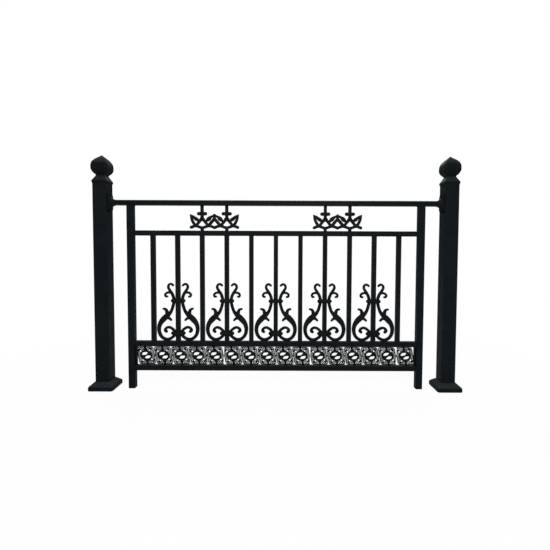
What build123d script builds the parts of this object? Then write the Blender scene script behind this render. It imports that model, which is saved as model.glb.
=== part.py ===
"""One bay of a wrought iron railing: two capped posts on cast feet, and between them a framed panel of
square balusters dressed with cast scrolls, two crowns and a pierced frieze.

Millimetres. The origin is on the ground, at the centre of the left post's foot. X runs along the railing
to the right post, the front of the railing faces -Y, and Z is up.
"""

import os
from math import atan2, copysign, cos, degrees, pi, radians, sin

from build123d import *

# Posts, their feet and their caps
POST_SPACING = 2006.0
POST_SIDE = 80.0
POST_WALL = 3.0
POST_CORNER = 3.0
POST_TOP = 1190.0
FOOT_SIDE = 144.0
FOOT_LIP = 24.0
FOOT_HEIGHT = 46.0
FOOT_FLOOR = 10.0
FOOT_RIM = 5.0
CAP_LIP = 4.5
CAP_LIP_HEIGHT = 11.0
CAP_NECK = 48.0
CAP_NECK_LOW = 44.0
CAP_NECK_HIGH = 53.0
CAP_HEAD = 93.0
CAP_HEAD_LOW = 79.0
CAP_HEAD_HIGH = 101.0
CAP_TIP_HEIGHT = 165.0
CAP_SWELL = 5.5
CAP_UNDER_SWELL = 2.0
CAP_WALL = 6.0
CAP_SPIGOT = 22.0
CAP_SPIGOT_WALL = 5.0
SPIGOT_CLEARANCE = 0.3

# Panel frame
HANDRAIL_TOP = 1100.0
HANDRAIL_HEIGHT = 31.0
HANDRAIL_DEPTH = 42.0
HANDRAIL_CROWN = 13.0
HANDRAIL_WALL = 2.0
STILE_SIDE = 38.0
STILE_WALL = 2.0
STILE_CORNER = 3.0
STILE_GAP = 102.4
STILE_PLUG = 4.0
STILE_PLUG_SPIGOT = 18.0
RAIL_SIDE = 30.0
RAIL_WALL = 2.0
RAIL_CORNER = 2.0
UPPER_RAIL_TOP = 924.0
LOWER_RAIL_TOP = 277.0
BOTTOM_RAIL_TOP = 135.0

# Brackets that hold the handrail to the posts
BRACKET_PLATE = 8.0
BRACKET_WIDTH = 56.0
BRACKET_HEIGHT = 112.0
BRACKET_SOCKET = 14.0
BRACKET_SOCKET_WALL = 3.0
BOLT_HEAD_RADIUS = 8.0
BOLT_HEAD_HEIGHT = 4.5
BOLT_INSET = 15.0

# Balusters
BALUSTER_COUNT = 11
BALUSTER_PITCH = 142.8
BALUSTER_SIDE = 25.0
BALUSTER_WALL = 1.5

# Cast scrolls, one on every second baluster
SCROLL_BALUSTERS = (2, 4, 6, 8, 10)
SCROLL_DEPTH = 15.0
SCROLL_FOOT_CLEARANCE = 0.3
SCROLL_BELLY_WIDTH = 17.5
COLLAR_DEPTH = 38.0
COLLAR_WIDTH = 86.0
COLLAR_HEIGHT = 19.0
COLLAR_KNOB_RADIUS = 11.0
COLLAR_KNOB_DEPTH = 28.0
LOWER_COLLAR_RISE = 46.0
UPPER_COLLAR_RISE = 237.0

# Cast crowns, each on two pins that stand over a pair of balusters
CROWN_BALUSTERS = ((3, 4), (8, 9))
CROWN_DEPTH = 12.0
CROWN_PIN_SIDE = 18.0
CROWN_BAR_LENGTH = 58.0
CROWN_BAR_HEIGHT = 17.0
CROWN_BAR_RISE = 98.0
CROWN_BAND_RISE = 22.0
CROWN_BAND_WAVE = 5.0
CROWN_BAND_WIDTH = 15.0
CROWN_PIN_FOOT = 68.0
CROWN_SHOULDER = 38.0
CROWN_SPEAR = 40.0
CROWN_SPEAR_WIDTH = 17.0
CROWN_REACH = 140.0

# Pierced frieze between the two bottom rails
FRIEZE_DEPTH = 12.0
FRIEZE_PITCH = 101.5
FRIEZE_SEGMENTS = (5, 5, 5, 1)
FRIEZE_SEAM = 3.0
FRIEZE_SLANT = -0.175
FRIEZE_RING = 29.0
FRIEZE_RING_WIDTH = 13.0
FRIEZE_LAP = 1.0
FRIEZE_LOOP_WIDTH = 7.0
FRIEZE_LOOP_SQUARENESS = 3.0
FRIEZE_LUG = 17.0
FRIEZE_SPOKE = 7.0
FRIEZE_SPOKE_ANGLES = (-60.0, -30.0, 0.0, 30.0, 60.0)
FRIEZE_BAR = 13.0
FRIEZE_SIDES = 12

# Places that follow from the sizes above
POST_CENTRES = {"left": 0.0, "right": POST_SPACING}
PANEL_CENTRE = POST_SPACING / 2
STILE_OFFSET = POST_SIDE / 2 + STILE_GAP + STILE_SIDE / 2
STILE_CENTRES = {"left": STILE_OFFSET, "right": POST_SPACING - STILE_OFFSET}
PANEL_INNER = POST_SPACING - 2 * STILE_OFFSET - STILE_SIDE
HANDRAIL_BOTTOM = HANDRAIL_TOP - HANDRAIL_HEIGHT
INWARD = {"left": 1, "right": -1}


def baluster_x(number):
    """X of a baluster's centre, counted from 1 at the left."""
    return PANEL_CENTRE + (number - (BALUSTER_COUNT + 1) / 2) * BALUSTER_PITCH


def save(part, name):
    """Labels a finished piece and writes it to its own file."""
    part.label = name
    export_step(part, f"parts/{name}.step")


def square_tube(side, wall, corner, length, plane):
    """A square tube, from the plane along its normal. Its outer corners are rounded if it has any radius."""
    with BuildPart() as tube:
        with BuildSketch(plane):
            if corner:
                RectangleRounded(side, side, corner)
            else:
                Rectangle(side, side)
            Rectangle(side - 2 * wall, side - 2 * wall, mode=Mode.SUBTRACT)
        extrude(amount=length)
    return tube.part


def stroke(nodes):
    """The flat outline of a forged bar, from (x, z, width) nodes along its smooth centreline.

    Its edges are faceted, with one corner at each node, one halfway to the next, and one at each end.
    """
    line = Spline(*[Vector(x, z) for x, z, _ in nodes])
    stops = [line.param_at_point(Vector(x, z)) for x, z, _ in nodes]
    halves = [width / 2 for _, _, width in nodes]
    params = [stops[0]]
    reaches = [halves[0]]
    for n in range(1, len(nodes)):
        params += [(stops[n - 1] + stops[n]) / 2, stops[n]]
        reaches += [(halves[n - 1] + halves[n]) / 2, halves[n]]
    centres = [line.position_at(at) for at in params]
    ways = [line.tangent_at(at) for at in params]
    left = [c + Vector(-w.Y, w.X) * r for c, w, r in zip(centres, ways, reaches)]
    right = [c - Vector(-w.Y, w.X) * r for c, w, r in zip(centres, ways, reaches)]
    tail = centres[0] - ways[0] * reaches[0]
    tip = centres[-1] + ways[-1] * reaches[-1]
    with BuildSketch() as outline:
        with BuildLine():
            Polyline(tail, *left, tip, *reversed(right), close=True)
        make_face()
    return outline.sketch


# Posts, feet and caps


def make_post(side):
    plane = Plane((POST_CENTRES[side], 0, FOOT_FLOOR))
    save(square_tube(POST_SIDE, POST_WALL, POST_CORNER, POST_TOP - FOOT_FLOOR, plane), f"{side}_post")


def make_foot(side):
    ground = Plane((POST_CENTRES[side], 0, 0))
    rise = FOOT_HEIGHT - FOOT_LIP
    shelf = (FOOT_SIDE - POST_SIDE) / 2 - FOOT_RIM
    with BuildPart() as foot:
        with BuildSketch(ground):
            Rectangle(FOOT_SIDE, FOOT_SIDE)
        extrude(amount=FOOT_LIP)
        with BuildSketch(ground.offset(FOOT_LIP)):
            Rectangle(FOOT_SIDE, FOOT_SIDE)
        extrude(amount=rise, taper=degrees(atan2(shelf, rise)))
        with BuildSketch(ground.offset(FOOT_FLOOR)):
            RectangleRounded(POST_SIDE, POST_SIDE, POST_CORNER)
        extrude(amount=FOOT_HEIGHT, mode=Mode.SUBTRACT)
    save(foot.part, f"{side}_post_foot")


def cap_profile(wall):
    """The cap's outline, seen square on, from its seat on the post, or its hollow inside a wall."""
    lip = POST_SIDE / 2 + CAP_LIP - wall
    neck = CAP_NECK / 2 - wall
    head = CAP_HEAD / 2 - wall
    tip = CAP_TIP_HEIGHT - 1.5 * wall
    neck_high = CAP_NECK_HIGH + wall
    head_low = CAP_HEAD_LOW + wall
    under = ((neck + head) / 2 + CAP_UNDER_SWELL, (neck_high + head_low) / 2 - CAP_UNDER_SWELL)
    dome = (head / 2 + CAP_SWELL, (CAP_HEAD_HIGH + tip) / 2 + CAP_SWELL)
    with BuildSketch() as profile:
        with BuildLine():
            Polyline((0, wall), (lip, wall), (lip, CAP_LIP_HEIGHT), (neck, CAP_NECK_LOW), (neck, neck_high))
            ThreePointArc((neck, neck_high), under, (head, head_low))
            Line((head, head_low), (head, CAP_HEAD_HIGH))
            ThreePointArc((head, CAP_HEAD_HIGH), dome, (0, tip))
            mirror(about=Plane.YZ)
        make_face()
    return profile.sketch


def cap_body(seat, wall):
    """Four curved faces that meet at ridges: the shape that two crossed mouldings have in common."""
    with BuildPart() as body:
        with BuildSketch(Plane(seat, x_dir=(1, 0, 0), z_dir=(0, -1, 0)).offset(-CAP_HEAD)):
            add(cap_profile(wall))
        extrude(amount=2 * CAP_HEAD)
        with BuildSketch(Plane(seat, x_dir=(0, 1, 0), z_dir=(1, 0, 0)).offset(-CAP_HEAD)):
            add(cap_profile(wall))
        extrude(amount=2 * CAP_HEAD, mode=Mode.INTERSECT)
    return body.part


def make_cap(side):
    """A hollow casting with a spigot that sits in the top of the post."""
    seat = Vector(POST_CENTRES[side], 0, POST_TOP)
    spigot = POST_SIDE - 2 * POST_WALL - 2 * SPIGOT_CLEARANCE
    hole = spigot - 2 * CAP_SPIGOT_WALL
    with BuildPart() as cap:
        add(cap_body(seat, 0))
        add(cap_body(seat, CAP_WALL), mode=Mode.SUBTRACT)
        with BuildSketch(Plane(seat)):
            Rectangle(spigot, spigot)
        extrude(amount=-CAP_SPIGOT)
        with BuildSketch(Plane(seat).offset(CAP_WALL)):
            Rectangle(hole, hole)
        extrude(amount=-CAP_SPIGOT - CAP_WALL, mode=Mode.SUBTRACT)
    save(cap.part, f"{side}_post_cap")


# Panel frame


def handrail_section(grow=0.0):
    """Flat-bottomed section of the handrail with a round top, and room to grow it by a wall."""
    half = HANDRAIL_DEPTH / 2 + grow
    shoulder = HANDRAIL_HEIGHT - HANDRAIL_CROWN
    with BuildSketch() as section:
        with BuildLine():
            Polyline((-half, shoulder), (-half, -grow), (half, -grow), (half, shoulder))
            ThreePointArc((half, shoulder), (0, HANDRAIL_HEIGHT + grow), (-half, shoulder))
        make_face()
    return section.sketch


def rail_plane(x, z):
    """A plane that faces along the railing: its first axis runs to the back, and its second is up."""
    return Plane((x, 0, z), x_dir=(0, 1, 0), z_dir=(1, 0, 0))


def make_handrail():
    start = POST_SIDE / 2 + BRACKET_PLATE
    with BuildPart() as rail:
        with BuildSketch(rail_plane(start, HANDRAIL_BOTTOM)):
            add(handrail_section())
            add(handrail_section(-HANDRAIL_WALL), mode=Mode.SUBTRACT)
        extrude(amount=POST_SPACING - 2 * start)
    save(rail.part, "handrail")


def make_bracket(side):
    """Bolted plate on the post's inner face with a socket round the end of the handrail."""
    inward = INWARD[side]
    face = POST_CENTRES[side] + inward * POST_SIDE / 2
    middle = HANDRAIL_BOTTOM + HANDRAIL_HEIGHT / 2
    wall = Plane((face, 0, middle), x_dir=(0, inward, 0), z_dir=(inward, 0, 0))
    plate = face + inward * BRACKET_PLATE
    seat = Plane((plate, 0, HANDRAIL_BOTTOM), x_dir=(0, inward, 0), z_dir=(inward, 0, 0))
    with BuildPart() as bracket:
        with BuildSketch(wall):
            SlotOverall(BRACKET_HEIGHT, BRACKET_WIDTH, rotation=90)
        extrude(amount=BRACKET_PLATE)
        with BuildSketch(seat):
            add(handrail_section(BRACKET_SOCKET_WALL))
            add(handrail_section(), mode=Mode.SUBTRACT)
        extrude(amount=BRACKET_SOCKET)
        with BuildSketch(wall.offset(BRACKET_PLATE)):
            with GridLocations(0, BRACKET_HEIGHT - 2 * BOLT_INSET, 1, 2):
                RegularPolygon(BOLT_HEAD_RADIUS, 6)
        extrude(amount=BOLT_HEAD_HEIGHT)
    save(bracket.part, f"{side}_rail_bracket")


def make_stile(side):
    plane = Plane((STILE_CENTRES[side], 0, STILE_PLUG))
    length = HANDRAIL_BOTTOM - STILE_PLUG
    save(square_tube(STILE_SIDE, STILE_WALL, STILE_CORNER, length, plane), f"{side}_stile")


def make_stile_plug(side):
    bore = STILE_SIDE - 2 * STILE_WALL - 2 * SPIGOT_CLEARANCE
    ground = Plane((STILE_CENTRES[side], 0, 0))
    with BuildPart() as plug:
        with BuildSketch(ground):
            RectangleRounded(STILE_SIDE, STILE_SIDE, STILE_CORNER)
        extrude(amount=STILE_PLUG)
        with BuildSketch(ground.offset(STILE_PLUG)):
            Rectangle(bore, bore)
        extrude(amount=STILE_PLUG_SPIGOT)
    save(plug.part, f"{side}_stile_foot")


def make_rail(name, top):
    plane = rail_plane(PANEL_CENTRE - PANEL_INNER / 2, top - RAIL_SIDE / 2)
    save(square_tube(RAIL_SIDE, RAIL_WALL, RAIL_CORNER, PANEL_INNER, plane), name)


def make_baluster(number):
    plane = Plane((baluster_x(number), 0, LOWER_RAIL_TOP))
    length = UPPER_RAIL_TOP - RAIL_SIDE - LOWER_RAIL_TOP
    tube = square_tube(BALUSTER_SIDE, BALUSTER_WALL, 0, length, plane)
    save(tube, f"baluster_{number}")


# Cast ornaments


def scroll_side():
    """Right half of a scroll, as (x, z, width) nodes from the baluster's axis and the lower rail."""
    belly = SCROLL_BELLY_WIDTH / 2 + SCROLL_FOOT_CLEARANCE
    stem = [
        (14, LOWER_COLLAR_RISE - 2, 16),
        (38, 19, 17),
        (66, belly, SCROLL_BELLY_WIDTH),
        (97, 24, 18.5),
        (113, 64, 21),
        (106, 102, 26),
        (84, 131, 33),
        (62, 152, 28),
        (44, 171, 19),
        (31, 203, 17),
        (25, UPPER_COLLAR_RISE, 17),
        (33, 274, 16.5),
        (49, 300, 15),
        (57, 318, 14),
        (52, 332, 13),
        (41, 336, 12.5),
        (29, 328, 12),
    ]
    volute = [
        (14, LOWER_COLLAR_RISE + 2, 16),
        (34, 71, 15.5),
        (56, 81, 14.5),
        (73, 73, 15.5),
        (76, 62, 18),
        (70, 56, 16),
    ]
    outer_leaf = [(64, 148, 27), (66, 170, 20), (74, 186, 15), (86, 190, 11)]
    inner_leaf = [(66, 138, 20), (52, 133, 15), (42, 124, 12)]
    curl = [(36, 281, 13), (52, 286, 12.5), (68, 282, 12.5), (75, 272, 12.5), (71, 263, 12), (64, 262, 11)]
    return [stem, volute, outer_leaf, inner_leaf, curl]


def make_scroll(number, order):
    """A pair of mirrored scrolls held to their baluster by two collars that wrap round it."""
    front = Plane((baluster_x(number), 0, LOWER_RAIL_TOP), x_dir=(1, 0, 0), z_dir=(0, -1, 0))
    rises = (LOWER_COLLAR_RISE, UPPER_COLLAR_RISE)
    outlines = [stroke(nodes) for nodes in scroll_side()]
    with BuildPart() as scroll:
        with BuildSketch(front):
            add(outlines)
            mirror(about=Plane.YZ)
        extrude(amount=SCROLL_DEPTH / 2, both=True)
        with BuildSketch(front):
            for rise in rises:
                with GridLocations(COLLAR_WIDTH - 2 * COLLAR_KNOB_RADIUS, 0, 2, 1):
                    with Locations((0, rise)):
                        RegularPolygon(COLLAR_KNOB_RADIUS, 8)
        extrude(amount=COLLAR_KNOB_DEPTH / 2, both=True)
        with BuildSketch(front):
            with Locations(*[(0, rise) for rise in rises]):
                Rectangle(COLLAR_WIDTH - 2 * COLLAR_KNOB_RADIUS, COLLAR_HEIGHT)
        extrude(amount=COLLAR_DEPTH / 2, both=True)
        with BuildSketch(Plane((baluster_x(number), 0, LOWER_RAIL_TOP))):
            Rectangle(BALUSTER_SIDE, BALUSTER_SIDE)
        extrude(amount=UPPER_COLLAR_RISE + COLLAR_HEIGHT, mode=Mode.SUBTRACT)
    save(scroll.part, f"scroll_{order}")


def make_crown(pair, name):
    """A crown of waved band, leaves and struts on two pins that stand between the upper rail and handrail."""
    half_span = BALUSTER_PITCH / 2
    quarter = half_span / 2
    crest = CROWN_BAND_RISE + CROWN_BAND_WAVE
    trough = CROWN_BAND_RISE - CROWN_BAND_WAVE
    middle = (baluster_x(pair[0]) + baluster_x(pair[1])) / 2
    front = Plane((middle, 0, UPPER_RAIL_TOP), x_dir=(1, 0, 0), z_dir=(0, -1, 0))
    width = CROWN_BAND_WIDTH
    band = [
        (0, trough, width),
        (quarter, crest, width),
        (half_span, trough, width),
        (half_span + quarter, crest, width),
        (CROWN_REACH - 5, trough + 2, width + 1),
    ]
    leaf_rim = [(half_span + quarter, crest, 14), (124, 46, 15), (133, 70, 14), (CROWN_REACH - 1, 92, 5)]
    leaf_body = [
        (CROWN_REACH - 2, 91, 6),
        (123, 79, 20),
        (106, 70, 22),
        (91, 65, 18),
        (half_span + 8, 67, 16),
    ]
    lobe = [(0, 87, 19), (18, 82, 21), (34, 73, 21), (46, 66, 17), (half_span - 8, 67, 16)]
    strut_out = [(half_span + quarter, crest, 15), (91, 48, 15), (half_span + 4, 66, 16)]
    strut_in = [(quarter, crest, 15), (52, 48, 15), (half_span - 4, 66, 16)]
    rafter = [(quarter, crest, 13.5), (20, 46, 13.5), (3, 64, 14)]
    bars = (band, leaf_rim, leaf_body, lobe, strut_out, strut_in, rafter)
    outlines = [stroke(nodes) for nodes in bars]
    height = HANDRAIL_BOTTOM - UPPER_RAIL_TOP
    with BuildPart() as crown:
        with BuildSketch(front):
            add(outlines)
            mirror(about=Plane.YZ)
            with Locations((-half_span, CROWN_BAR_RISE), (half_span, CROWN_BAR_RISE)):
                SlotOverall(CROWN_BAR_LENGTH, CROWN_BAR_HEIGHT)
            with Locations((-half_span, CROWN_PIN_FOOT), (half_span, CROWN_PIN_FOOT)):
                SlotOverall(CROWN_SHOULDER, CROWN_BAR_HEIGHT)
            with Locations((0, CROWN_PIN_FOOT + CROWN_SPEAR / 4)):
                SlotOverall(CROWN_SPEAR, CROWN_SPEAR_WIDTH, rotation=90)
        extrude(amount=CROWN_DEPTH / 2, both=True)
        for start, end in ((0, trough), (CROWN_PIN_FOOT, height)):
            with BuildSketch(Plane((middle, 0, UPPER_RAIL_TOP + start))):
                with GridLocations(BALUSTER_PITCH, 0, 2, 1):
                    Rectangle(CROWN_PIN_SIDE, CROWN_PIN_SIDE)
            extrude(amount=end - start)
    save(crown.part, name)


def slanted(x, z):
    """A point of the frieze's motif, moved sideways by the lean."""
    return Vector(x + FRIEZE_SLANT * z, z)


def leaning_ring(radius, squareness):
    """Corners of a leaning ring: round at a squareness of 2, and nearer a square above it."""
    corners = []
    for n in range(FRIEZE_SIDES):
        turn = 2 * pi * (n + 0.5) / FRIEZE_SIDES
        x = copysign(abs(cos(turn)) ** (2 / squareness), cos(turn))
        z = copysign(abs(sin(turn)) ** (2 / squareness), sin(turn))
        corners.append(slanted(radius * x, radius * z))
    return corners


def frieze_unit(height):
    """One motif: a ring with an S bar, tied by spokes to a squarish loop and by lugs to the rails."""
    flat = cos(pi / FRIEZE_SIDES) ** (2 / FRIEZE_LOOP_SQUARENESS)
    reach = (FRIEZE_PITCH / 2 + FRIEZE_LAP) / flat
    inner = reach - FRIEZE_LOOP_WIDTH
    half_lug = FRIEZE_LUG / 2
    half_height = height / 2
    spokes = []
    for angle in FRIEZE_SPOKE_ANGLES:
        x = cos(radians(angle))
        z = sin(radians(angle))
        bulge = abs(x) ** FRIEZE_LOOP_SQUARENESS + abs(z) ** FRIEZE_LOOP_SQUARENESS
        far = inner / bulge ** (1 / FRIEZE_LOOP_SQUARENESS)
        for end in (1, -1):
            near_end = slanted(end * x * FRIEZE_RING, z * FRIEZE_RING)
            far_end = slanted(end * x * far, z * far)
            spokes.append(Line(near_end, far_end))
    with BuildSketch() as unit:
        Polygon(*leaning_ring(reach, FRIEZE_LOOP_SQUARENESS), align=None)
        Polygon(*leaning_ring(inner, FRIEZE_LOOP_SQUARENESS), align=None, mode=Mode.SUBTRACT)
        for end in (1, -1):
            root = slanted(0, end * FRIEZE_RING)
            foot = slanted(0, end * half_height)
            Polygon(
                (root.X - half_lug, root.Y),
                (root.X + half_lug, root.Y),
                (foot.X + half_lug, foot.Y),
                (foot.X - half_lug, foot.Y),
                align=None,
            )
        for spoke in spokes:
            trace(spoke, FRIEZE_SPOKE)
        Polygon(*leaning_ring(FRIEZE_RING + FRIEZE_RING_WIDTH / 2, 2), align=None)
        Polygon(*leaning_ring(FRIEZE_RING - FRIEZE_RING_WIDTH / 2, 2), align=None, mode=Mode.SUBTRACT)
        with BuildLine() as bar:
            Polyline(
                (-FRIEZE_RING, -FRIEZE_RING * 0.1),
                (-FRIEZE_RING * 0.5, -FRIEZE_RING * 0.33),
                (FRIEZE_RING * 0.5, FRIEZE_RING * 0.33),
                (FRIEZE_RING, FRIEZE_RING * 0.1),
            )
        trace(bar.line, FRIEZE_BAR)
    return unit.sketch


def make_frieze():
    """Cast lengths of the frieze, butted end to end under the lower rail."""
    top = LOWER_RAIL_TOP - RAIL_SIDE
    height = top - BOTTOM_RAIL_TOP
    unit = frieze_unit(height)
    total = sum(FRIEZE_SEGMENTS) * FRIEZE_PITCH
    margin = (PANEL_INNER - total) / 2
    left = PANEL_CENTRE - total / 2
    for order, count in enumerate(FRIEZE_SEGMENTS, start=1):
        length = count * FRIEZE_PITCH
        first = order == 1
        last = order == len(FRIEZE_SEGMENTS)
        centre = (left + length / 2, 0, (top + BOTTOM_RAIL_TOP) / 2)
        front = Plane(centre, x_dir=(1, 0, 0), z_dir=(0, -1, 0))
        low = -length / 2 + (0 if first else FRIEZE_SEAM / 2)
        high = length / 2 - (0 if last else FRIEZE_SEAM / 2)
        with BuildPart() as segment:
            with BuildSketch(front):
                with GridLocations(FRIEZE_PITCH, 0, count, 1):
                    add(unit)
                with Locations(((low + high) / 2, 0)):
                    Rectangle(high - low, height, mode=Mode.INTERSECT)
                if first:
                    with Locations((low - margin / 2, 0)):
                        Rectangle(margin, height)
                if last:
                    with Locations((high + margin / 2, 0)):
                        Rectangle(margin, height)
            extrude(amount=FRIEZE_DEPTH / 2, both=True)
        save(segment.part, f"frieze_{order}")
        left += length


def main():
    os.makedirs("parts", exist_ok=True)
    for side in ("left", "right"):
        make_post(side)
        make_foot(side)
        make_cap(side)
        make_bracket(side)
        make_stile(side)
        make_stile_plug(side)
    make_handrail()
    make_rail("upper_rail", UPPER_RAIL_TOP)
    make_rail("lower_rail", LOWER_RAIL_TOP)
    make_rail("bottom_rail", BOTTOM_RAIL_TOP)
    for number in range(1, BALUSTER_COUNT + 1):
        make_baluster(number)
    for order, number in enumerate(SCROLL_BALUSTERS, start=1):
        make_scroll(number, order)
    for pair, name in zip(CROWN_BALUSTERS, ("left_crown", "right_crown")):
        make_crown(pair, name)
    make_frieze()


main()
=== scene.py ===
"""Looks for the wrought iron railing: satin black paint, rounded castings, bracket flares and weld beads.

Metres, in the CAD model's frame: X runs along the railing, -Y faces the viewer, Z is up.
Shapes are drawn in millimetres and scaled as each piece is made.
"""

import math

import bmesh
import bpy
import numpy as np
from mathutils import Matrix, Vector


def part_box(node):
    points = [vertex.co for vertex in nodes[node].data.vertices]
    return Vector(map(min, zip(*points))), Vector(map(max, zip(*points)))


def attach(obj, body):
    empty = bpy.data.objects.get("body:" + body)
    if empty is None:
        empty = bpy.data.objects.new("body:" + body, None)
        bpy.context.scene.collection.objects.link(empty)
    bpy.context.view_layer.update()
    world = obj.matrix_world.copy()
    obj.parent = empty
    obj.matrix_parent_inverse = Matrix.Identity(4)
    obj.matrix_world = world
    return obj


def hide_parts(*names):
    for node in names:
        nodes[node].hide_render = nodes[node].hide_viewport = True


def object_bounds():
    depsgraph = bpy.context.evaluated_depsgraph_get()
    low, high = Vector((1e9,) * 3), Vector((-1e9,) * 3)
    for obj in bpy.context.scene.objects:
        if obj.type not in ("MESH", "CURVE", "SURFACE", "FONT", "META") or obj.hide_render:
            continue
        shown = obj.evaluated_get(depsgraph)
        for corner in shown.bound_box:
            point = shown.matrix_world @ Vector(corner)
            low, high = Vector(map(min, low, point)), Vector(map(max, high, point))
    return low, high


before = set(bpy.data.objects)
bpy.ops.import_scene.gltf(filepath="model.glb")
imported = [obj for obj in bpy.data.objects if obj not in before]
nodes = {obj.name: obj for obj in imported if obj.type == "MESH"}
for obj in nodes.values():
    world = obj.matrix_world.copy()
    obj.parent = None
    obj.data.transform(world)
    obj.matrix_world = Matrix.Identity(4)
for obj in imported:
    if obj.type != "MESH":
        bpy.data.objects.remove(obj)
cad_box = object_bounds()

MM = 0.001
SIDES = ("left", "right")
BALUSTERS = range(1, 12)
SCROLLS = range(1, 6)
PANEL_X = (cad_box[0][0] + cad_box[1][0]) / 2

# Sizes that follow the solids
lower_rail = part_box("lower_rail")
upper_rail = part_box("upper_rail")
bottom_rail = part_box("bottom_rail")
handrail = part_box("handrail")


def middle(node):
    low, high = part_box(node)
    return (Vector(low) + Vector(high)) / 2


def span(node):
    low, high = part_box(node)
    return Vector(high) - Vector(low)


# Materials

# Sockets of a colour mix node
MIX_FACTOR = 0
MIX_FIRST = 6
MIX_SECOND = 7
MIX_RESULT = 2

# Noise values that are spread over a whole range
NOISE_SPREAD = (0.3, 0.7)

# (scale, detail) of the noise behind each effect
MOTTLE_NOISE = (14, 5)
PATCH_NOISE = (60, 8)
ROUGH_NOISE = (38, 6)
GRAIN_DETAIL = 4
GRAIN_STRENGTH = 0.6

# Share of the dust colour on faces that look straight up, and the least that the patchy noise leaves of it:
# this lighter tone is part dust, part painted highlight
MOST_DUST_AND_HIGHLIGHT = 0.75
LEAST_PATCH = 0.35
SMOOTHER = 0.08
ROUGHER = 0.12

TUBE_GRAIN = {"grain": 420, "grain_height": 0.0003}
CAST_GRAIN = {"grain": 240, "grain_height": 0.0008}
CAST_COAT = {"dark": (0.0040, 0.0050, 0.0056), "light": (0.0066, 0.0082, 0.0090)}


def link(tree, start, out, end, into):
    tree.links.new(start.outputs[out], end.inputs[into])


def paint(name, dark, light, dust_and_highlight, gloss, rough, grain, grain_height, dust_and_highlight_from=0.45):
    """Satin paint: mottled near-black, a lighter dust colour on faces that look up (part dust, part painted
    highlight for the light from above), and a faint grain under the coat.
    """
    material = bpy.data.materials.new(name)
    material.use_nodes = True
    tree = material.node_tree
    shader = tree.nodes["Principled BSDF"]
    shader.inputs["Specular IOR Level"].default_value = gloss
    place = tree.nodes.new("ShaderNodeTexCoord")

    def noise(scale, detail):
        node = tree.nodes.new("ShaderNodeTexNoise")
        node.inputs["Scale"].default_value = scale
        node.inputs["Detail"].default_value = detail
        link(tree, place, "Object", node, "Vector")
        return node

    def spread(source, out, low, high, within=NOISE_SPREAD):
        node = tree.nodes.new("ShaderNodeMapRange")
        node.inputs["From Min"].default_value = within[0]
        node.inputs["From Max"].default_value = within[1]
        node.inputs["To Min"].default_value = low
        node.inputs["To Max"].default_value = high
        link(tree, source, out, node, "Value")
        return node

    def mix(factor, first, second):
        node = tree.nodes.new("ShaderNodeMix")
        node.data_type = "RGBA"
        link(tree, factor, 0, node, MIX_FACTOR)
        if isinstance(first, tuple):
            node.inputs[MIX_FIRST].default_value = (*first, 1)
        else:
            link(tree, first, MIX_RESULT, node, MIX_FIRST)
        node.inputs[MIX_SECOND].default_value = (*second, 1)
        return node

    coat = mix(spread(noise(*MOTTLE_NOISE), "Fac", 0, 1), dark, light)
    geometry = tree.nodes.new("ShaderNodeNewGeometry")
    normal = tree.nodes.new("ShaderNodeSeparateXYZ")
    link(tree, geometry, "Normal", normal, "Vector")
    # Lighter on faces that look up: dust, and also a painted highlight that stands for the light falling
    # from above
    upward = spread(normal, "Z", 0, MOST_DUST_AND_HIGHLIGHT, (dust_and_highlight_from, 1.0))
    patches = spread(noise(*PATCH_NOISE), "Fac", LEAST_PATCH, 1.0)
    dust_and_highlight_share = tree.nodes.new("ShaderNodeMath")
    dust_and_highlight_share.operation = "MULTIPLY"
    link(tree, upward, 0, dust_and_highlight_share, 0)
    link(tree, patches, 0, dust_and_highlight_share, 1)
    link(tree, mix(dust_and_highlight_share, coat, dust_and_highlight), MIX_RESULT, shader, "Base Color")
    sheen = spread(noise(*ROUGH_NOISE), "Fac", rough - SMOOTHER, rough + ROUGHER)
    link(tree, sheen, 0, shader, "Roughness")
    bump = tree.nodes.new("ShaderNodeBump")
    bump.inputs["Strength"].default_value = GRAIN_STRENGTH
    bump.inputs["Distance"].default_value = grain_height
    link(tree, noise(grain, GRAIN_DETAIL), "Fac", bump, "Height")
    link(tree, bump, "Normal", shader, "Normal")
    return material


tube_paint = paint(
    "satin_black_tube",
    dark=(0.0044, 0.0060, 0.0072),
    light=(0.0064, 0.0084, 0.0098),
    dust_and_highlight=(0.042, 0.045, 0.047),
    gloss=0.03,
    rough=0.40,
    **TUBE_GRAIN,
)
# Handrail: its upward faces get a much lighter dust colour, a painted sheen for the light from above on its
# rounded top
rail_paint = paint(
    "black_handrail_painted_sheen",
    dark=(0.0034, 0.0046, 0.0056),
    light=(0.0054, 0.0070, 0.0082),
    dust_and_highlight=(0.095, 0.099, 0.103),
    gloss=0.04,
    rough=0.36,
    dust_and_highlight_from=0.60,
    **TUBE_GRAIN,
)
cast_paint = paint(
    "satin_black_casting",
    dust_and_highlight=(0.030, 0.033, 0.035),
    gloss=0.04,
    rough=0.48,
    **CAST_COAT,
    **CAST_GRAIN,
)
# Foot: a stronger dust colour on its upward slope and top, mostly a painted highlight for the light from
# above
foot_paint = paint(
    "black_foot_painted_highlight",
    dust_and_highlight=(0.050, 0.056, 0.060),
    gloss=0.04,
    rough=0.46,
    dust_and_highlight_from=0.4,
    **CAST_COAT,
    **CAST_GRAIN,
)
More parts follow.
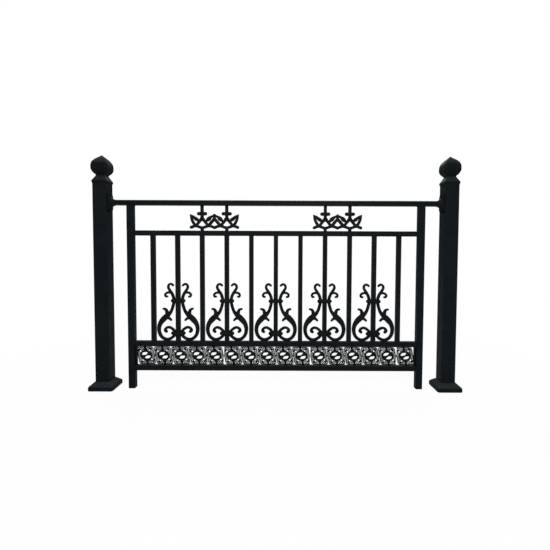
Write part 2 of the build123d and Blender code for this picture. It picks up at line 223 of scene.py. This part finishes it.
# Cap: the dust colour reaches faces that lean only a little upward, as a painted highlight on the pyramid
# and dome for the light from above
cap_paint = paint(
    "black_cap_painted_highlight",
    dark=(0.0030, 0.0041, 0.0042),
    light=(0.0050, 0.0064, 0.0065),
    dust_and_highlight=(0.052, 0.062, 0.063),
    gloss=0.04,
    rough=0.46,
    dust_and_highlight_from=0.2,
    **CAST_GRAIN,
)
plug_plastic = paint(
    "matt_black_plug",
    dark=(0.0035, 0.0035, 0.004),
    light=(0.0055, 0.0055, 0.006),
    dust_and_highlight=(0.020, 0.020, 0.020),
    gloss=0.05,
    rough=0.62,
    grain=300,
    grain_height=0.0002,
)

# Mesh building

CUT_TOLERANCE = 1e-7

# Angles at which a bar's round end is drawn, and the share of its depth left at the tip
END_ANGLES = (80, 60, 40, 20)
TIP_DEPTH = 0.35

BEAD_CORNER = 2.0
BEAD_RIPPLE = 0.12
BEAD_WAVE = 2.4


class Shell:
    """Collects closed shells, in millimetres about a local origin, and makes one piece of them."""

    def __init__(self):
        self.verts = []
        self.faces = []

    def rings(self, rings, closed=False):
        """Skins a list of equal rings of points. Open skins are closed by their end rings."""
        first = len(self.verts)
        count = len(rings[0])
        for ring in rings:
            self.verts.extend(tuple(point) for point in ring)
        last = len(rings) if closed else len(rings) - 1
        for row in range(last):
            near = first + row * count
            far = first + (row + 1) % len(rings) * count
            for col in range(count):
                turn = (col + 1) % count
                self.faces.append((near + col, near + turn, far + turn, far + col))
        if not closed:
            self.faces.append(tuple(first + col for col in reversed(range(count))))
            end = first + (len(rings) - 1) * count
            self.faces.append(tuple(end + col for col in range(count)))

    def mirrored(self):
        """Adds a copy of all that is here, mirrored in X."""
        first = len(self.verts)
        self.verts.extend([(-x, y, z) for x, y, z in self.verts])
        self.faces.extend([tuple(first + v for v in reversed(face)) for face in list(self.faces)])

    def piece(self, name, origin, material):
        """Makes a smooth-shaded object of the shells, placed about an origin in metres."""
        mesh = bpy.data.meshes.new(name)
        base = np.array(origin)
        mesh.from_pydata([tuple(base + np.array(v) * MM) for v in self.verts], [], self.faces)
        mesh.polygons.foreach_set("use_smooth", [True] * len(mesh.polygons))
        mesh.materials.append(material)
        mesh.update()
        made = bpy.data.objects.new(name, mesh)
        bpy.context.scene.collection.objects.link(made)
        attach(made, "root")
        return made


def trim(made, low, high):
    """Cuts a piece off square at each end, and closes the cuts."""
    shape = bmesh.new()
    shape.from_mesh(made.data)
    for spot, way in ((low, -1), (high, 1)):
        cut = bmesh.ops.bisect_plane(
            shape,
            geom=shape.verts[:] + shape.edges[:] + shape.faces[:],
            plane_co=(spot, 0, 0),
            plane_no=(way, 0, 0),
            dist=CUT_TOLERANCE,
            clear_outer=True,
        )
        rims = [part for part in cut["geom_cut"] if isinstance(part, bmesh.types.BMEdge)]
        bmesh.ops.holes_fill(shape, edges=rims, sides=0)
    shape.to_mesh(made.data)
    shape.free()


def natural_spline(points, samples):
    """Smooth curve through the points, with chord lengths as its parameter."""
    points = np.array(points, float)
    steps = np.linalg.norm(np.diff(points[:, :2], axis=0), axis=1)
    knots = np.concatenate([[0], np.cumsum(steps)])
    count = len(points)
    if count == 2:
        share = np.linspace(0, 1, samples)[:, None]
        return points[0] * (1 - share) + points[1] * share
    system = np.zeros((count, count))
    right = np.zeros((count, points.shape[1]))
    system[0, 0] = system[-1, -1] = 1
    for n in range(1, count - 1):
        system[n, n - 1] = steps[n - 1]
        system[n, n] = 2 * (steps[n - 1] + steps[n])
        system[n, n + 1] = steps[n]
        right[n] = 6 * ((points[n + 1] - points[n]) / steps[n] - (points[n] - points[n - 1]) / steps[n - 1])
    bend = np.linalg.solve(system, right)
    curve = []
    for at in np.linspace(0, knots[-1], samples):
        n = min(np.searchsorted(knots, at, side="right") - 1, count - 2)
        h = steps[n]
        a = (knots[n + 1] - at) / h
        b = 1 - a
        part = a * points[n] + b * points[n + 1]
        part = part + ((a**3 - a) * bend[n] + (b**3 - b) * bend[n + 1]) * h * h / 6
        curve.append(part)
    return np.array(curve)


def section(half_width, half_depth, corners, power):
    """Points round a rounded bar: across its path, and in depth. A higher power is squarer."""
    ring = []
    for n in range(corners):
        turn = 2 * math.pi * (n + 0.5) / corners
        c = math.cos(turn)
        s = math.sin(turn)
        across = math.copysign(abs(c) ** (2 / power), c) * half_width
        deep = math.copysign(abs(s) ** (2 / power), s) * half_depth
        ring.append((across, deep))
    return ring


def forged(shell, path, depth, samples=48, corners=14, power=2.8, ends=True, closed=False):
    """Sweeps a rounded bar along (x, z, width) nodes that lie in the railing's plane."""
    curve = np.array(path, float) if closed else natural_spline(path, samples)
    points = curve[:, :2]
    if closed:
        tangents = np.roll(points, -1, axis=0) - np.roll(points, 1, axis=0)
    else:
        tangents = np.gradient(points, axis=0)
    tangents /= np.linalg.norm(tangents, axis=1)[:, None]
    rounded = ends and not closed
    rows = []

    def add_row(point, tangent, width, thick):
        normal = np.array([-tangent[1], tangent[0]])
        ring = []
        for across, deep in section(width / 2, thick / 2, corners, power):
            spot = point + normal * across
            ring.append((spot[0], deep, spot[1]))
        rows.append(ring)

    def add_end(at, way, angles):
        width = curve[at, 2]
        for angle in angles:
            shrink = math.cos(math.radians(angle))
            reach = points[at] + way * tangents[at] * (width / 2) * math.sin(math.radians(angle))
            add_row(reach, tangents[at], width * shrink, depth * (TIP_DEPTH + (1 - TIP_DEPTH) * shrink))

    if rounded:
        add_end(0, -1, END_ANGLES)
    for point, tangent, row in zip(points, tangents, curve):
        add_row(point, tangent, row[2], depth)
    if rounded:
        add_end(-1, 1, reversed(END_ANGLES))
    shell.rings(list(reversed(rows)), closed)


def ball(shell, centre, radii, rows=10, corners=18):
    """A rounded boss."""
    rings = []
    for n in range(1, rows):
        fall = math.pi * n / rows
        ring = []
        for m in range(corners):
            turn = 2 * math.pi * m / corners
            ring.append((
                centre[0] + radii[0] * math.sin(fall) * math.cos(turn),
                centre[1] + radii[1] * math.sin(fall) * math.sin(turn),
                centre[2] - radii[2] * math.cos(fall),
            ))
        rings.append(ring)
    shell.rings(rings)


def square_path(half_x, half_y, corner, steps=5):
    """Points round a rounded rectangle, seen from above, with their outward directions."""
    out = []
    for quarter, (sx, sy) in enumerate(((1, 1), (-1, 1), (-1, -1), (1, -1))):
        for n in range(steps + 1):
            turn = math.pi / 2 * (quarter + n / steps)
            way = (math.cos(turn), math.sin(turn))
            x = sx * (half_x - corner) + corner * way[0]
            y = sy * (half_y - corner) + corner * way[1]
            out.append(((x, y), way))
    return out


def band(shell, z, half_x, half_y, corner, thick, tall, corners=12, power=3.2):
    """A forged collar that wraps round a bar."""
    rows = []
    for spot, way in square_path(half_x - thick / 2, half_y - thick / 2, corner):
        ring = []
        for across, up in section(thick / 2, tall / 2, corners, power):
            ring.append((spot[0] + way[0] * across, spot[1] + way[1] * across, z + up))
        rows.append(ring)
    shell.rings(list(reversed(rows)), closed=True)


def bead(shell, centre, half, z, size):
    """A ring of weld metal where a square bar meets a flat face."""
    rows = []
    for n, (spot, way) in enumerate(square_path(half, half, BEAD_CORNER, steps=3)):
        ripple = size * (1 + BEAD_RIPPLE * math.sin(n * BEAD_WAVE))
        ring = []
        for across, up in section(ripple, ripple, corners=6, power=2.0):
            ring.append((centre + spot[0] + way[0] * across, spot[1] + way[1] * across, z + up))
        rows.append(ring)
    shell.rings(list(reversed(rows)), closed=True)


# Scrolls and crowns: how much the paint adds to the width of their strokes
PAINT_BUILD = 1.5


def painted(stroke):
    return [(x, z, width + PAINT_BUILD) for x, z, width in stroke]


# Scroll castings: the right half, as (x, z, width) above the lower rail

SCROLL_DEPTH = 15.0
STEM_SAMPLES = 110
CURL_SAMPLES = 36
LOWER_COLLAR = 46.0
UPPER_COLLAR = 237.0
COLLAR_HALF_X = 32
COLLAR_HALF_Y = 19
COLLAR_BOSS = (11, 14, 11)

SCROLL_STEM = [
    (14, 44, 16), (38, 19, 17), (66, 9.05, 17.5), (97, 24, 18.5), (113, 64, 21), (106, 102, 26),
    (84, 131, 33), (62, 152, 28), (44, 171, 19), (31, 203, 17), (25, 237, 17), (33, 274, 16.5),
    (49, 300, 15), (57, 318, 14), (52, 332, 13), (41, 336, 12.5), (29, 328, 12),
]
SCROLL_CURLS = (
    [(14, 48, 16), (34, 71, 15.5), (56, 81, 14.5), (73, 73, 15.5), (76, 62, 18), (70, 56, 16)],
    [(64, 148, 27), (66, 170, 20), (74, 186, 15), (86, 190, 11)],
    [(66, 138, 20), (52, 133, 15), (42, 124, 12)],
    [(36, 281, 13), (52, 286, 12.5), (68, 282, 12.5), (75, 272, 12.5), (71, 263, 12), (64, 262, 11)],
)


def make_scroll(order):
    """A mirrored scroll with its two collars."""
    node = f"scroll_{order}"
    shell = Shell()
    forged(shell, painted(SCROLL_STEM), SCROLL_DEPTH, samples=STEM_SAMPLES)
    for curl in SCROLL_CURLS:
        forged(shell, painted(curl), SCROLL_DEPTH, samples=CURL_SAMPLES)
    for rise in (LOWER_COLLAR, UPPER_COLLAR):
        ball(shell, (COLLAR_HALF_X, 0, rise), COLLAR_BOSS)
    shell.mirrored()
    for rise in (LOWER_COLLAR, UPPER_COLLAR):
        band(shell, rise, COLLAR_HALF_X, COLLAR_HALF_Y, corner=4, thick=6.3, tall=19)
    centre = middle(node)
    made = shell.piece(f"{node}_casting", (centre.x, 0, lower_rail[1][2]), cast_paint)
    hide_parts(node)


# Crown castings: the right half, as (x, z, width) above the upper rail

CROWN_DEPTH = 12
PIN_X = 71.4
PIN_WIDTH = 18
WAVE_LOW = 17.0
WAVE_HIGH = 27.0
QUARTER_X = PIN_X / 2
OUTER_X = PIN_X + QUARTER_X

CROWN_STROKES = (
    # Wave along the foot
    [(0, WAVE_LOW, 16), (QUARTER_X, WAVE_HIGH, 16), (PIN_X, WAVE_LOW, 16), (OUTER_X, WAVE_HIGH, 16),
     (135, WAVE_LOW + 2, 17)],
    # Rim and leaf at the outer end
    [(OUTER_X, WAVE_HIGH, 15), (122, 46, 16), (132.5, 70, 14), (139, 92, 5)],
    [(138, 91, 6), (127, 83, 14), (116, 75, 17), (106, 67, 21), (98, 62, 18), (92, 55, 14)],
    # Pointed arch in the middle
    [(0, 88, 12), (13, 83, 12.5), (24, 76, 18), (34, 67, 24), (44, 58, 15)],
    # Rafters, from the wave up to the pin and to the arch
    [(OUTER_X, WAVE_HIGH, 16), (91, 48, 16.5), (PIN_X + 4, 66, 18)],
    [(QUARTER_X, WAVE_HIGH, 16), (52, 48, 16.5), (PIN_X - 4, 66, 18)],
    [(QUARTER_X, WAVE_HIGH, 15), (20, 46, 18), (3, 66, 17)],
)
CROWN_BARS = (
    # Shoulder under the pin, and the bar across it
    [(PIN_X - 6, 67, 18), (PIN_X + 6, 67, 18)],
    [(PIN_X - 19.5, 98, 19.5), (PIN_X + 19.5, 98, 19.5)],
)
PEAK = [(0, 66.5, 17), (0, 89.5, 17)]
UPPER_PIN_FOOT = 68


def make_crown(side):
    """A mirrored crown with the square pins that carry it."""
    node = f"{side}_crown"
    shell = Shell()
    for stroke in CROWN_STROKES:
        forged(shell, painted(stroke), CROWN_DEPTH, samples=30)
    for bar in CROWN_BARS:
        forged(shell, painted(bar), CROWN_DEPTH, samples=6)
    rise = (handrail[0][2] - upper_rail[1][2]) / MM
    for foot, head, samples in ((0, WAVE_LOW, 3), (UPPER_PIN_FOOT, rise, 4)):
        pin = [(PIN_X, foot, PIN_WIDTH), (PIN_X, head, PIN_WIDTH)]
        forged(shell, pin, PIN_WIDTH, samples=samples, corners=24, power=9, ends=False)
    shell.mirrored()
    forged(shell, PEAK, CROWN_DEPTH, samples=5)
    centre = middle(node)
    made = shell.piece(f"{node}_casting", (centre.x, 0, upper_rail[1][2]), cast_paint)
    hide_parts(node)


# Frieze castings: motifs about the middle between the two bottom rails

FRIEZE_PITCH = 101.5
FRIEZE_DEPTH = 12.0
SLANT = -0.175
SEGMENTS = (5, 5, 5, 1)
OVERLAP = 1

RING_HALF_X = 29.2
RING_HALF_Z = 24.6
RING_WIDTH = 11.5
RING_POWER = 2.3

LOOP_POWER = 11.0
LOOP_WIDTH = 4.4
SLIT = 2.4
LUG_ROOT = 29
LUG_WIDTH = 15
BRIDGE_WIDTH = 9

# Fins a side, either way from the middle one, in steps of degrees, and the oval that they start from
FINS = 8
FIN_DEPTH = 3.6
FIN_STEP = 9.25
FIN_TAPER = 0.128
FIN_ROOT_X = 33
FIN_ROOT_Z = 28

# The diagonal fin is a short one with a stud
DIAGONAL = 5
DIAGONAL_START = 0.78
STUD = (7, 5, 7)

S_BAR = [(-29, -6, 12), (-15, -6.5, 17), (0, 0, 9.5), (15, 6.5, 17), (29, 6, 12)]
S_BALL_X = 15
S_BALL_Z = 9
S_BALL = (10.5, 7, 9.5)


def leaning_ring(centre, half_x, half_z, width, power, steps):
    """Path of a leaning ring: round at a power of 2, and nearer a square above it."""
    return [(centre + x + SLANT * z, z, width) for x, z in section(half_x, half_z, steps, power)]


def frieze_unit(shell, centre, half_height):
    """A ring with an S bar, sunk in a fan of fins that a squarish loop holds."""
    half_x = (FRIEZE_PITCH - SLIT - LOOP_WIDTH) / 2
    half_z = (FRIEZE_PITCH - LOOP_WIDTH) / 2 + OVERLAP
    ring = leaning_ring(centre, RING_HALF_X, RING_HALF_Z, RING_WIDTH, RING_POWER, steps=48)
    forged(shell, ring, FRIEZE_DEPTH, corners=12, closed=True)
    loop = leaning_ring(centre, half_x, half_z, LOOP_WIDTH, LOOP_POWER, steps=72)
    forged(shell, loop, FIN_DEPTH + OVERLAP, corners=10, closed=True)
    for end in (1, -1):
        root = end * LUG_ROOT
        tip = end * half_height
        lug = [(centre + SLANT * root, root, LUG_WIDTH), (centre + SLANT * tip, tip, LUG_WIDTH)]
        forged(shell, lug, FRIEZE_DEPTH, samples=5, corners=12, ends=False)
        reach = FRIEZE_PITCH / 2 + OVERLAP
        bridge = [(centre + end * half_x, 0, BRIDGE_WIDTH), (centre + end * reach, 0, BRIDGE_WIDTH)]
        forged(shell, bridge, FRIEZE_DEPTH, samples=3, corners=12, ends=False)
        for step in range(-FINS, FINS + 1):
            turn = math.radians(step * FIN_STEP) - math.atan(SLANT)
            x = end * math.cos(turn)
            z = end * math.sin(turn)
            upright = x - SLANT * z
            near = ((upright / FIN_ROOT_X) ** 2 + (z / FIN_ROOT_Z) ** 2) ** -0.5
            far = (abs(upright) / half_x) ** LOOP_POWER + (abs(z) / half_z) ** LOOP_POWER
            far = far ** (-1 / LOOP_POWER)
            if abs(step) == DIAGONAL:
                near = far * DIAGONAL_START
                ball(shell, (centre + x * near, 0, z * near), STUD, rows=8, corners=12)
            fin = [(centre + x * out, z * out, FIN_TAPER * out) for out in (near, far)]
            forged(shell, fin, FIN_DEPTH, samples=3, corners=8, ends=False)
    bar = [(centre + x, z, width) for x, z, width in S_BAR]
    forged(shell, bar, FRIEZE_DEPTH, samples=30, corners=12)
    for end in (1, -1):
        ball(shell, (centre + end * S_BALL_X, 0, end * S_BALL_Z), S_BALL, rows=8, corners=12)


def make_frieze():
    """The cast lengths of the frieze, with a plain edge at each stile."""
    top = lower_rail[0][2]
    base = bottom_rail[1][2]
    half_height = (top - base) / 2 / MM
    inner = lower_rail[0][0] + (span("lower_rail").x - sum(SEGMENTS) * FRIEZE_PITCH * MM) / 2
    for order, count in enumerate(SEGMENTS, start=1):
        node = f"frieze_{order}"
        low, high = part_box(node)
        shell = Shell()
        start = inner + sum(SEGMENTS[: order - 1]) * FRIEZE_PITCH * MM
        length = count * FRIEZE_PITCH
        for unit in range(count):
            frieze_unit(shell, (unit + 0.5) * FRIEZE_PITCH, half_height)
        first = order == 1
        if first or order == len(SEGMENTS):
            margin = (start - low[0]) / MM if first else (high[0] - start) / MM - length
            edge = -margin / 2 if first else length + margin / 2
            path = [(edge, -half_height, margin), (edge, half_height, margin)]
            forged(shell, path, FRIEZE_DEPTH, samples=4, corners=20, power=6, ends=False)
        made = shell.piece(f"{node}_casting", (start, 0, (top + base) / 2), cast_paint)
        trim(made, low[0], high[0])
        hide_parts(node)


# Post caps and feet: (half width, height) from the bottom up

CAP_LIP = 44.5
CAP_LIP_Z = 11
CAP_NECK = (27.2, 51)
CAP_BULGE = (39.2, 63.4)
CAP_SHOULDER = (46.4, 79.2)
CAP_DOME = [(47.2, 103.4), (44.4, 117), (34.6, 133.6), (16.8, 150.6), (7.2, 158.4), (0.8, 164.6)]

# The cap's corners soften from the lip up, over this height
CAP_POWER = 16
CAP_SOFTENED = 3
CAP_BLEND = 60

FOOT_POWER = 15
FOOT_PROFILE = [
    (68.5, 0), (70.8, 0.8), (72, 3), (72, 18), (71.4, 21.5), (69.6, 24.6), (66.5, 27.4),
    (48.5, 42.4), (45.8, 44.8), (43.4, 45.8), (41.6, 46), (40.1, 45.6),
]


def arc(a, b, c, steps):
    """Points along the arc from a to c through b, without a."""
    (ax, ay), (bx, by), (cx, cy) = a, b, c
    d = 2 * (ax * (by - cy) + bx * (cy - ay) + cx * (ay - by))
    ux = ((ax**2 + ay**2) * (by - cy) + (bx**2 + by**2) * (cy - ay) + (cx**2 + cy**2) * (ay - by)) / d
    uy = ((ax**2 + ay**2) * (cx - bx) + (bx**2 + by**2) * (ax - cx) + (cx**2 + cy**2) * (bx - ax)) / d
    start = math.atan2(ay - uy, ax - ux)
    turn = math.atan2(cy - uy, cx - ux) - start
    turn = (turn + math.pi) % (2 * math.pi) - math.pi
    radius = math.hypot(ax - ux, ay - uy)
    angles = [start + turn * n / steps for n in range(1, steps + 1)]
    return [(ux + radius * math.cos(t), uy + radius * math.sin(t)) for t in angles]


def square_ring(half, z, power, corners=64):
    return [(across, deep, z) for across, deep in section(half, half, corners, power)]


def cap_profile():
    """Lip, pyramid, neck, flare, upright band and dome."""
    profile = [(40.4, 0), (41.2, 0.6), (42.2, 3), (CAP_LIP - 0.5, 8.6), (CAP_LIP, CAP_LIP_Z)]
    profile += [(CAP_LIP - 0.1, 13.6), (CAP_LIP - 0.9, 16)]
    profile += [(36.2, 28.8), (28.2, 42.2), (27.2, 44.2), (26.8, 47.6), CAP_NECK]
    profile += arc(CAP_NECK, CAP_BULGE, CAP_SHOULDER, 8)
    profile += [(47.2, 82), (47.5, 85), (47.5, 100), CAP_DOME[0]]
    profile += [tuple(point) for point in natural_spline(CAP_DOME, 24)[1:]]
    return profile


def make_cap(side):
    """The onion-shaped square cap on a post."""
    node = f"{side}_post_cap"
    shell = Shell()
    rings = []
    for half, z in cap_profile():
        blend = min(max((z - CAP_LIP_Z) / CAP_BLEND, 0), 1)
        rings.append(square_ring(half, z, CAP_POWER - CAP_SOFTENED * blend))
    shell.rings(rings)
    centre = middle(node)
    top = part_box(f"{side}_post")[1][2]
    made = shell.piece(f"{node}_casting", (centre.x, 0, top), cap_paint)
    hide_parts(node)


def make_foot(side):
    """The foot with the soft edges and corners of a sand casting."""
    node = f"{side}_post_foot"
    shell = Shell()
    shell.rings([square_ring(half, z, FOOT_POWER) for half, z in FOOT_PROFILE])
    centre = middle(node)
    made = shell.piece(f"{node}_casting", (centre.x, 0, 0), foot_paint)
    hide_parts(node)


# Brackets and welds

FLARE_STEPS = 12
FLARE_START = 6
FLARE_LENGTH = 26
FLARE_HALF_Y = 24
FLARE_HALF_Z = 38
FLARE_PROUD = 1

BALUSTER_BEAD = 1.5
BALUSTER_BEAD_SEAT = 0.6
STILE_BEAD = 1.8
STILE_BEAD_SEAT = 0.8


def make_bell(side):
    """The flare with which each bracket runs out into the handrail."""
    way = 1 if side == "left" else -1
    low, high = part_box(f"{side}_rail_bracket")
    wall = (low[0] if way > 0 else high[0]) / MM
    rail = span("handrail") / MM
    shell = Shell()
    rings = []
    for n in range(FLARE_STEPS + 1):
        share = math.sin(math.pi / 2 * n / FLARE_STEPS)
        out = FLARE_START + FLARE_LENGTH * n / FLARE_STEPS
        half_y = FLARE_HALF_Y + (rail.y / 2 + FLARE_PROUD - FLARE_HALF_Y) * share
        half_z = FLARE_HALF_Z + (rail.z / 2 + FLARE_PROUD - FLARE_HALF_Z) * share
        ring = section(half_y, half_z, corners=32, power=2.6)
        rings.append([(wall + way * out, across, up) for across, up in ring])
    shell.rings(rings if way > 0 else list(reversed(rings)))
    made = shell.piece(f"{side}_bracket_flare", (0, 0, middle("handrail").z), cast_paint)


def make_welds():
    """Beads where the balusters meet the rails, and where the stiles meet the handrail."""
    shell = Shell()
    base = lower_rail[1][2]
    for number in BALUSTERS:
        centre = middle(f"baluster_{number}").x / MM
        half = span(f"baluster_{number}").x / 2 / MM
        bead(shell, centre, half, BALUSTER_BEAD_SEAT, BALUSTER_BEAD)
        bead(shell, centre, half, (upper_rail[0][2] - base) / MM - BALUSTER_BEAD_SEAT, BALUSTER_BEAD)
    for side in SIDES:
        centre = middle(f"{side}_stile").x / MM
        half = span(f"{side}_stile").x / 2 / MM
        bead(shell, centre, half, (handrail[0][2] - base) / MM - STILE_BEAD_SEAT, STILE_BEAD)
    made = shell.piece("weld_beads", (0, 0, base), tube_paint)


for order in SCROLLS:
    make_scroll(order)
for side in SIDES:
    make_crown(side)
    make_cap(side)
    make_foot(side)
    make_bell(side)
make_frieze()
make_welds()

# Solids: their paint, and softened edges on the balusters and brackets

CASTING_WORDS = ("foot", "bracket", "scroll", "frieze", "crown", "cap")
SOFT_EDGE = 0.0015
SOFT_ANGLE = math.radians(25)

for name, node in nodes.items():
    node.data.materials.clear()
    if name.endswith("stile_foot"):
        node.data.materials.append(plug_plastic)
    elif name == "handrail":
        node.data.materials.append(rail_paint)
    elif any(word in name for word in CASTING_WORDS):
        node.data.materials.append(cast_paint)
    else:
        node.data.materials.append(tube_paint)
softened = [f"baluster_{number}" for number in BALUSTERS]
softened += [f"{side}_rail_bracket" for side in SIDES]
for name in softened:
    soften = nodes[name].modifiers.new("soft_edges", "BEVEL")
    soften.width = SOFT_EDGE
    soften.segments = 3
    soften.limit_method = "ANGLE"
    soften.angle_limit = SOFT_ANGLE

# Stage

WHITE = (1, 1, 1, 1)
FLOOR_COLOUR = (0.9, 0.9, 0.9, 1)
FLOOR_REACH = 9.0
SKY_COLOUR = (0.86, 0.94, 1, 1)
SKY_STRENGTH = 0.38

# Share of plain white that the camera sees in the floor: less near the railing, so that its shadow shows
SHADOW_NEAR = 0.8
SHADOW_FAR = 2.4
SHADOW_WHITE = 0.96


def stage_material():
    """Pale floor that the camera sees as near white, and that still takes a soft shadow."""
    material = bpy.data.materials.new("stage_white")
    material.use_nodes = True
    tree = material.node_tree
    tree.nodes.clear()
    out = tree.nodes.new("ShaderNodeOutputMaterial")
    diffuse = tree.nodes.new("ShaderNodeBsdfDiffuse")
    diffuse.inputs["Color"].default_value = FLOOR_COLOUR
    glow = tree.nodes.new("ShaderNodeEmission")
    glow.inputs["Color"].default_value = WHITE
    glow.inputs["Strength"].default_value = 1.0
    rays = tree.nodes.new("ShaderNodeLightPath")
    place = tree.nodes.new("ShaderNodeTexCoord")
    away = tree.nodes.new("ShaderNodeVectorMath")
    away.operation = "LENGTH"
    link(tree, place, "Object", away, 0)
    fade = tree.nodes.new("ShaderNodeMapRange")
    fade.inputs["From Min"].default_value = SHADOW_NEAR
    fade.inputs["From Max"].default_value = SHADOW_FAR
    fade.inputs["To Min"].default_value = SHADOW_WHITE
    fade.inputs["To Max"].default_value = 1.0
    link(tree, away, "Value", fade, "Value")
    share = tree.nodes.new("ShaderNodeMath")
    share.operation = "MULTIPLY"
    link(tree, rays, "Is Camera Ray", share, 0)
    link(tree, fade, 0, share, 1)
    mix = tree.nodes.new("ShaderNodeMixShader")
    link(tree, share, 0, mix, 0)
    link(tree, diffuse, 0, mix, 1)
    link(tree, glow, 0, mix, 2)
    link(tree, mix, 0, out, 0)
    return material


def make_floor():
    mesh = bpy.data.meshes.new("floor")
    corners = [
        (-FLOOR_REACH, -FLOOR_REACH, 0),
        (FLOOR_REACH, -FLOOR_REACH, 0),
        (FLOOR_REACH, FLOOR_REACH, 0),
        (-FLOOR_REACH, FLOOR_REACH, 0),
    ]
    mesh.from_pydata(corners, [], [(0, 1, 2, 3)])
    mesh.materials.append(stage_material())
    floor = bpy.data.objects.new("floor", mesh)
    floor.location.x = PANEL_X
    bpy.context.scene.collection.objects.link(floor)


def make_world():
    """White for the camera, and a softer, bluish sky that lights the railing."""
    world = bpy.data.worlds.new("studio")
    bpy.context.scene.world = world
    world.use_nodes = True
    tree = world.node_tree
    tree.nodes.clear()
    out = tree.nodes.new("ShaderNodeOutputWorld")
    rays = tree.nodes.new("ShaderNodeLightPath")
    soft = tree.nodes.new("ShaderNodeBackground")
    soft.inputs["Color"].default_value = SKY_COLOUR
    soft.inputs["Strength"].default_value = SKY_STRENGTH
    white = tree.nodes.new("ShaderNodeBackground")
    white.inputs["Color"].default_value = WHITE
    white.inputs["Strength"].default_value = 1.0
    mix = tree.nodes.new("ShaderNodeMixShader")
    link(tree, rays, "Is Camera Ray", mix, 0)
    link(tree, soft, 0, mix, 1)
    link(tree, white, 0, mix, 2)
    link(tree, mix, 0, out, 0)


def make_lamp(name, place, target, size, power):
    lamp = bpy.data.lights.new(name, "AREA")
    lamp.shape = "DISK"
    lamp.size = size
    lamp.energy = power
    holder = bpy.data.objects.new(name, lamp)
    holder.location = place
    holder.rotation_euler = (Vector(target) - Vector(place)).to_track_quat("-Z", "Y").to_euler()
    bpy.context.scene.collection.objects.link(holder)


# The photograph's camera: degrees, metres, and pixels of a square picture

TILT = 2.3989
TURN = -0.0528
ROLL = 0.2211
CAMERA_AT = (1.04778, -2.150, 0.84448)
PHOTO_SIZE = 550
PHOTO_MIDDLE = 275
FOCAL_LENGTH = 369.28
CENTRE_X = 283.92
CENTRE_Y = 260.13
SENSOR = 36


def make_camera():
    """The photograph's view: near the middle of the bay, wide, almost level."""
    tilt = math.radians(TILT)
    turn = math.radians(TURN)
    roll = math.radians(ROLL)
    ahead = Vector((-math.sin(turn), math.cos(turn), 0))
    right = Vector((math.cos(turn), math.sin(turn), 0))
    up = Vector((0, 0, 1))
    look = ahead * math.cos(tilt) - up * math.sin(tilt)
    lift = up * math.cos(tilt) + ahead * math.sin(tilt)
    side = right * math.cos(roll) + lift * math.sin(roll)
    head = lift * math.cos(roll) - right * math.sin(roll)
    data = bpy.data.cameras.new("camera")
    data.sensor_width = SENSOR
    data.lens = FOCAL_LENGTH / PHOTO_SIZE * SENSOR
    data.shift_x = (PHOTO_MIDDLE - CENTRE_X) / PHOTO_SIZE
    data.shift_y = (CENTRE_Y - PHOTO_MIDDLE) / PHOTO_SIZE
    data.clip_end = 60
    camera = bpy.data.objects.new("camera", data)
    bpy.context.scene.collection.objects.link(camera)
    place = Matrix((side, head, -look)).transposed().to_4x4()
    place.translation = Vector(CAMERA_AT)
    camera.matrix_world = place
    bpy.context.scene.camera = camera


make_floor()
make_world()
make_lamp("key", place=(PANEL_X + 0.2, -4.2, 2.9), target=(PANEL_X, 0, 0.8), size=1.8, power=145)
make_lamp("fill", place=(PANEL_X - 0.4, -3.6, 3.4), target=(PANEL_X, 0, 0.7), size=2.5, power=18)
make_lamp("rim", place=(PANEL_X + 0.4, 2.4, 3.2), target=(PANEL_X, 0, 0.7), size=2.0, power=30)
make_camera()
bpy.context.scene.view_settings.view_transform = "Standard"
